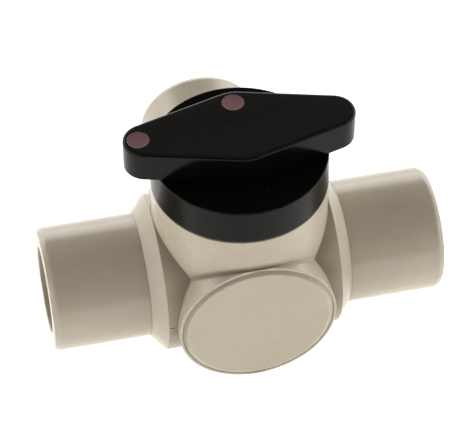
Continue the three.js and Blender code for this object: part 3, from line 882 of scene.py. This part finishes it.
def seats_and_rings():
    mouth = [(math.sqrt(bowl_r ** 2 - r * r), r) for r in np.linspace(seat_bore_r, seat_face_r, 7)]
    seat = mouth + [(seat_low[0], seat_r, 0.15), (seat_back, seat_r, 0.15),
                    (seat_back, seat_bore_r, 0.1)]
    ring_out = corners("right_seat_ring")[1][2]
    cord = ring_profile(ring_out - SEAT_CORD / 2, SEAT_CORD, seat_back + SEAM + SEAT_CORD / 2)
    for side, axis in (("left", "-x"), ("right", "x"), ("back", "y"), ("front", "-y")):
        inner_ring(side + "_ball_seat", side + "_seat", seat, SEAT, axis)
        inner_ring(side + "_backing_ring", side + "_seat_ring", cord, RUBBER, axis)


def half_round(radius, steps):
    """Section of a ball, from pole to pole."""
    turn = np.linspace(0, math.pi, steps)[1:-1]
    arc = [(-radius * math.cos(a), radius * math.sin(a)) for a in turn]
    return [(-radius, 0)] + arc + [(radius, 0)]


def ball_piece():
    reach = ball_r + PAST
    cutters = [
        rod(WATER_R, 0, reach, "-x"),
        rod(WATER_R, 0, reach, "y"),
        turned(half_round(WATER_R, 25), "z", INNER_FACETS),
        block(-reach, reach, -BALL_SLOT / 2, BALL_SLOT / 2, SLOT_FLOOR, reach),
    ]
    solid = combined(turned(half_round(ball_r, 49), "x", INNER_FACETS), cutters, "DIFFERENCE")
    return dressed("port_ball", solid, "ball", BALL)


def stem_and_seals():
    lower = roof + STEM_LAND
    upper = lower + STEM_GROOVE + STEM_LAND
    core = stem_bore_r - STEM_CORD - 2 * SEAM
    profile = [(collar_base, 0), (collar_base, collar_r, 0.15), (collar_top, collar_r, 0.15),
               (collar_top, STEM_R)]
    for groove in (lower, upper):
        profile += [(groove, STEM_R, 0.08), (groove, core), (groove + STEM_GROOVE, core),
                    (groove + STEM_GROOVE, STEM_R, 0.08)]
    bar = turned(profile + [(neck_top, STEM_R, 0.1), (neck_top, 0)], "z", INNER_FACETS)
    drive = block(-square, square, -square, square, neck_top - PAST, stem_high[2])
    half, thin = collar_r - TANG_INSET, BALL_SLOT / 2 - RUN_FIT
    tang = block(-half, half, -thin, thin, stem_low[2], collar_top - TANG_ROOT)
    thread = rod(SCREW_R + SEAM, head_under - SCREW_HOLE, stem_high[2] + PAST, facets=THREAD_FACETS)
    solid = combined(combined(bar, [drive, tang], "UNION"), [thread], "DIFFERENCE")
    dressed("drive_stem", solid, "stem", STEM)
    for name, node, groove in (("lower_stem_seal", "lower_stem_ring", lower),
                               ("upper_stem_seal", "upper_stem_ring", upper)):
        cord = ring_profile(core + SEAM + STEM_CORD / 2, STEM_CORD, groove + STEM_GROOVE / 2)
        inner_ring(name, node, cord, RUBBER)
    washer = flat_section(STEM_R + 0.2, washer_high[0], washer_low[2], washer_high[2],
                          (0.05, 0.1, 0.1, 0.05))
    inner_ring("stem_thrust_washer", "thrust_washer", washer, SEAT)
    bush = flat_section(stem_bore_r, bush_r, bush_low[2], bush_high[2], (0.1, 0.1, 0.15, 0.15))
    inner_ring("stem_gland_bush", "gland_bush", bush, HOUSING)


# ---------- handle ----------


def disc_piece():
    inner = neck_r - SKIRT_WALL
    top = neck_r - DISC_DRAFT
    pocket = screw_washer_high[0] + 0.3
    hole = SCREW_R + 0.2
    foot = neck_top + DISC_LIFT
    shell = turned([
        (skirt_base, inner, 0.1), (skirt_base, neck_r, 0.1), (disc_top, top, 0.22),
        (disc_top, pocket, 0.1), (screw_seat, pocket), (screw_seat, hole), (foot, hole),
        (foot, hub_r, 0.2), (disc_under, hub_r, 0.3), (disc_under, inner, 0.4)])
    lug = sector(recess_in + LUG_SIDE_ROOM, recess_out - LUG_SIDE_ROOM, LUG_ANGLE, LUG_SPAN,
                 disc_low[2], disc_under + DISC_THICK / 2)
    socket = block(-socket_half, socket_half, -socket_half, socket_half, neck_top, socket_top)
    half, thin = PRONG_LENGTH / 2 + PRONG_PLAY, PRONG_THICK / 2 + PRONG_PLAY
    windows = [block(x - half, x + half, -thin, thin + PRONG_HOOK - 2 * PRONG_PLAY,
                     disc_under - PAST, disc_top + PAST) for x in (prong_x, -prong_x)]
    solid = combined(combined(shell, [lug], "UNION"), [socket] + windows, "DIFFERENCE")
    return dressed("turning_disc", solid, "handle_disc", DISC)


def grip_outline(inset, arc=26, flank=30):
    """Outline of the grip, a long rhombus with round tips and eased blunt corners."""
    length, width = grip_high[0] - grip_low[0], grip_high[1] - grip_low[1]
    tip_x, corner_y = length / 2 - GRIP_TIP_R, width / 2 - GRIP_CORNER_R
    lean = (math.acos((GRIP_CORNER_R - GRIP_TIP_R) / math.hypot(tip_x, corner_y))
            - math.atan2(corner_y, tip_x))
    arcs = [(tip_x, 0, GRIP_TIP_R, -lean, lean),
            (0, corner_y, GRIP_CORNER_R, lean, math.pi - lean),
            (-tip_x, 0, GRIP_TIP_R, math.pi - lean, math.pi + lean),
            (0, -corner_y, GRIP_CORNER_R, math.pi + lean, 2 * math.pi - lean)]
    made = []
    for cx, cy, r, a0, a1 in arcs:
        steps = arc if r == GRIP_TIP_R else arc // 2
        made += [(cx + (r - inset) * math.cos(a), cy + (r - inset) * math.sin(a))
                 for a in np.linspace(a0, a1, steps + 1)]
    full = []
    for i, p in enumerate(made):
        q = made[(i + 1) % len(made)]
        full.append(p)
        if math.dist(p, q) > 4:
            full += [(p[0] + (q[0] - p[0]) * t, p[1] + (q[1] - p[1]) * t)
                     for t in np.linspace(0, 1, flank + 1)[1:-1]]
    return full


def marker_places():
    """Name, node, corners and middle of each marker's plug."""
    for name in ("tip", "side"):
        low, high = corners(name + "_marker")
        middle = Vector(((low[0] + high[0]) / 2, (low[1] + high[1]) / 2, 0)) * MM
        yield "port_marker_" + name, name + "_marker", low, high, Matrix.Translation(middle)


def grip_body():
    """The grip's outside: outlines stacked from its foot to its eased top."""
    rows = [(disc_top, GRIP_FOOT), (disc_top + 0.05, GRIP_FOOT * 0.4),
            (disc_top + GRIP_FOOT, 0.0), (disc_top + 0.4, 0.0), (grip_top - GRIP_EASE - 0.1, 0.0)]
    rows += [(grip_top - GRIP_EASE + GRIP_EASE * math.sin(a), GRIP_EASE * (1 - math.cos(a)))
             for a in np.linspace(0, math.pi / 2, 9)]
    rows += [(grip_top, GRIP_EASE + 0.06), (grip_top, 1.3)]
    outlines = [[(x, y, z) for x, y in grip_outline(inset)] for z, inset in rows]
    n = len(outlines[0])
    points = [p for line in outlines for p in line]
    faces = [(k * n + i, k * n + (i + 1) % n, (k + 1) * n + (i + 1) % n, (k + 1) * n + i)
             for k in range(len(rows) - 1) for i in range(n)]
    faces += [tuple(range(n))[::-1], tuple((len(rows) - 1) * n + i for i in range(n))]
    return closed(mesh_of("grip", points, faces))


def grip_piece():
    under = disc_under - SEAM
    foot = under - HOOK_HEIGHT
    half, thin = PRONG_LENGTH / 2, PRONG_THICK / 2
    prongs = []
    for x in (prong_x, -prong_x):
        prongs += [block(x - half, x + half, -thin, thin, foot, disc_top + PAST),
                   block(x - half, x + half, -thin, thin + PRONG_HOOK, foot, under)]
    holes = []
    for _, _, low, high, place in marker_places():
        hole = rod((high[0] - low[0]) / 2 + SEAM, low[2] - SEAM, grip_top + PAST,
                   facets=SMALL_FACETS)
        hole.transform(place)
        holes.append(hole)
    solid = combined(combined(grip_body(), prongs, "UNION"), holes, "DIFFERENCE")
    return dressed("turning_grip", solid, "handle_grip", GRIP)


def marker_pieces():
    for name, node, low, high, place in marker_places():
        r = (high[0] - low[0]) / 2
        dish = high[2] - MARKER_DISH
        plug = turned([(low[2], 0), (low[2], r, 0.1), (high[2], r, 0.06),
                       (high[2], r - 0.22, 0.05), (dish, r - MARKER_RIM, 0.05), (dish, 0)],
                      "z", SMALL_FACETS, MARKER)
        plug.transform(place)
        dressed(name, plug, node, MARKER)


def screw_pieces():
    tip = screw_low[2]
    threads = []
    along = tip + THREAD_PITCH
    while along < head_under - 2 * THREAD_SHANK:
        threads += [(along, SCREW_R - THREAD_DEPTH), (along + THREAD_PITCH / 2, SCREW_R)]
        along += THREAD_PITCH
    profile = [(tip, 0), (tip, SCREW_R - 0.4, 0.1)] + threads + [
        (head_under - THREAD_SHANK, SCREW_R), (head_under, SCREW_R), (head_under, head_r, 0.1),
        (head_top, head_r - 0.1, 0.3), (head_top, 0)]
    hexagon = [(HEX_R * math.cos(a), HEX_R * math.sin(a))
               for a in np.radians(np.arange(0, 360, 60))]
    drive = prism(hexagon, head_top - HEX_DEPTH, head_top + PAST)
    screw = combined(turned(profile, "z", SMALL_FACETS), [drive], "DIFFERENCE")
    dressed("fixing_screw", screw, "handle_screw", STEEL)
    washer = flat_section(SCREW_R + 0.1, screw_washer_high[0],
                          screw_washer_low[2], screw_washer_high[2], (0.05, 0.1, 0.1, 0.05))
    dressed("fixing_washer", turned(washer, "z", SMALL_FACETS, STEEL), "screw_washer",
            STEEL)


housing_piece()
connector("left_port", "left_connector", "-x", spigot_end)
connector("right_port", "right_connector", "x", spigot_end)
connector("back_port", "back_connector", "y", back_end)
closing_plug()
seats_and_rings()
ball_piece()
stem_and_seals()
disc_piece()
grip_piece()
marker_pieces()
screw_pieces()

# ---------- studio ----------

FLOOR = 3000  # half its side
FLOOR_GAP = 0.02  # the valve's underside to the floor
EYE = Vector((-52.272, -224.647, 259.583))  # from where the axes cross
LOOK_AT = Vector((-0.7006, 4.9961, 4.3537))
HEAD_UP = Vector((0.15908, 0.71772, 0.67792))
LENS, SENSOR = 168.556, 36


def studio():
    around = [(-FLOOR, -FLOOR, 0), (FLOOR, -FLOOR, 0), (FLOOR, FLOOR, 0), (-FLOOR, FLOOR, 0)]
    floor_mesh = mesh_of("floor", around, [(0, 1, 2, 3)])
    floor = linked("floor", floor_mesh)
    floor.location.z = cad_low.z - FLOOR_GAP * MM
    finish = Finish("floor_white", Emission_Color=(1, 1, 0.99, 1), Emission_Strength=0.76)
    colour = finish.blend(finish.noise(300, 2), (0.93, 0.93, 0.93, 1), (0.9, 0.9, 0.9, 1))
    floor_mesh.materials.append(finish.done(colour, finish.noise(200) * 0.1 + 0.85))

    world = bpy.data.worlds.new("studio")
    world.use_nodes = True
    bpy.context.scene.world = world
    sky = Bench(world.node_tree)
    x, y, z = sky.parts_of(sky.node("ShaderNodeTexCoord", out="Generated"))
    # Soft panels stand behind and at both sides, from the bench up to 30 degrees, the left one
    # lower and dimmer. In front and overhead it is nearly dark.
    panels = (y + x.size()).clipped(-0.3, 0.48) * z.clipped(-0.01, 0.02)
    panels = panels * (1 - z.clipped(0.42, 0.56))
    left = (0.0 - x - y.size()).clipped(-0.4, 0.4) * (1 - z.clipped(0.12, 0.24))
    glow = panels * (1 - left * 0.8) * 2.9 + z.clipped(0.78, 0.95) * 0.1
    colour = sky.blend((glow * 4).least(1.0), (0.05, 0.03, 0.022, 1), (1, 1, 1, 1))
    ground = sky.tree.nodes["Background"]
    sky.tree.links.new(colour.socket, ground.inputs[0])
    sky.tree.links.new(glow.most(1.0).socket, ground.inputs[1])


def camera():
    eye, target = EYE * MM + cross, LOOK_AT * MM + cross
    back = (eye - target).normalized()
    right = HEAD_UP.cross(back).normalized()
    turn = Matrix((right, back.cross(right), back)).transposed()
    data = bpy.data.cameras.new("camera")
    data.sensor_width, data.lens = SENSOR, LENS
    data.clip_start, data.clip_end = 0.01, 20
    made = linked("camera", data)
    made.matrix_world = Matrix.Translation(eye) @ turn.to_4x4()
    bpy.context.scene.camera = made


studio()
camera()
bpy.context.scene.view_settings.view_transform = "Standard"
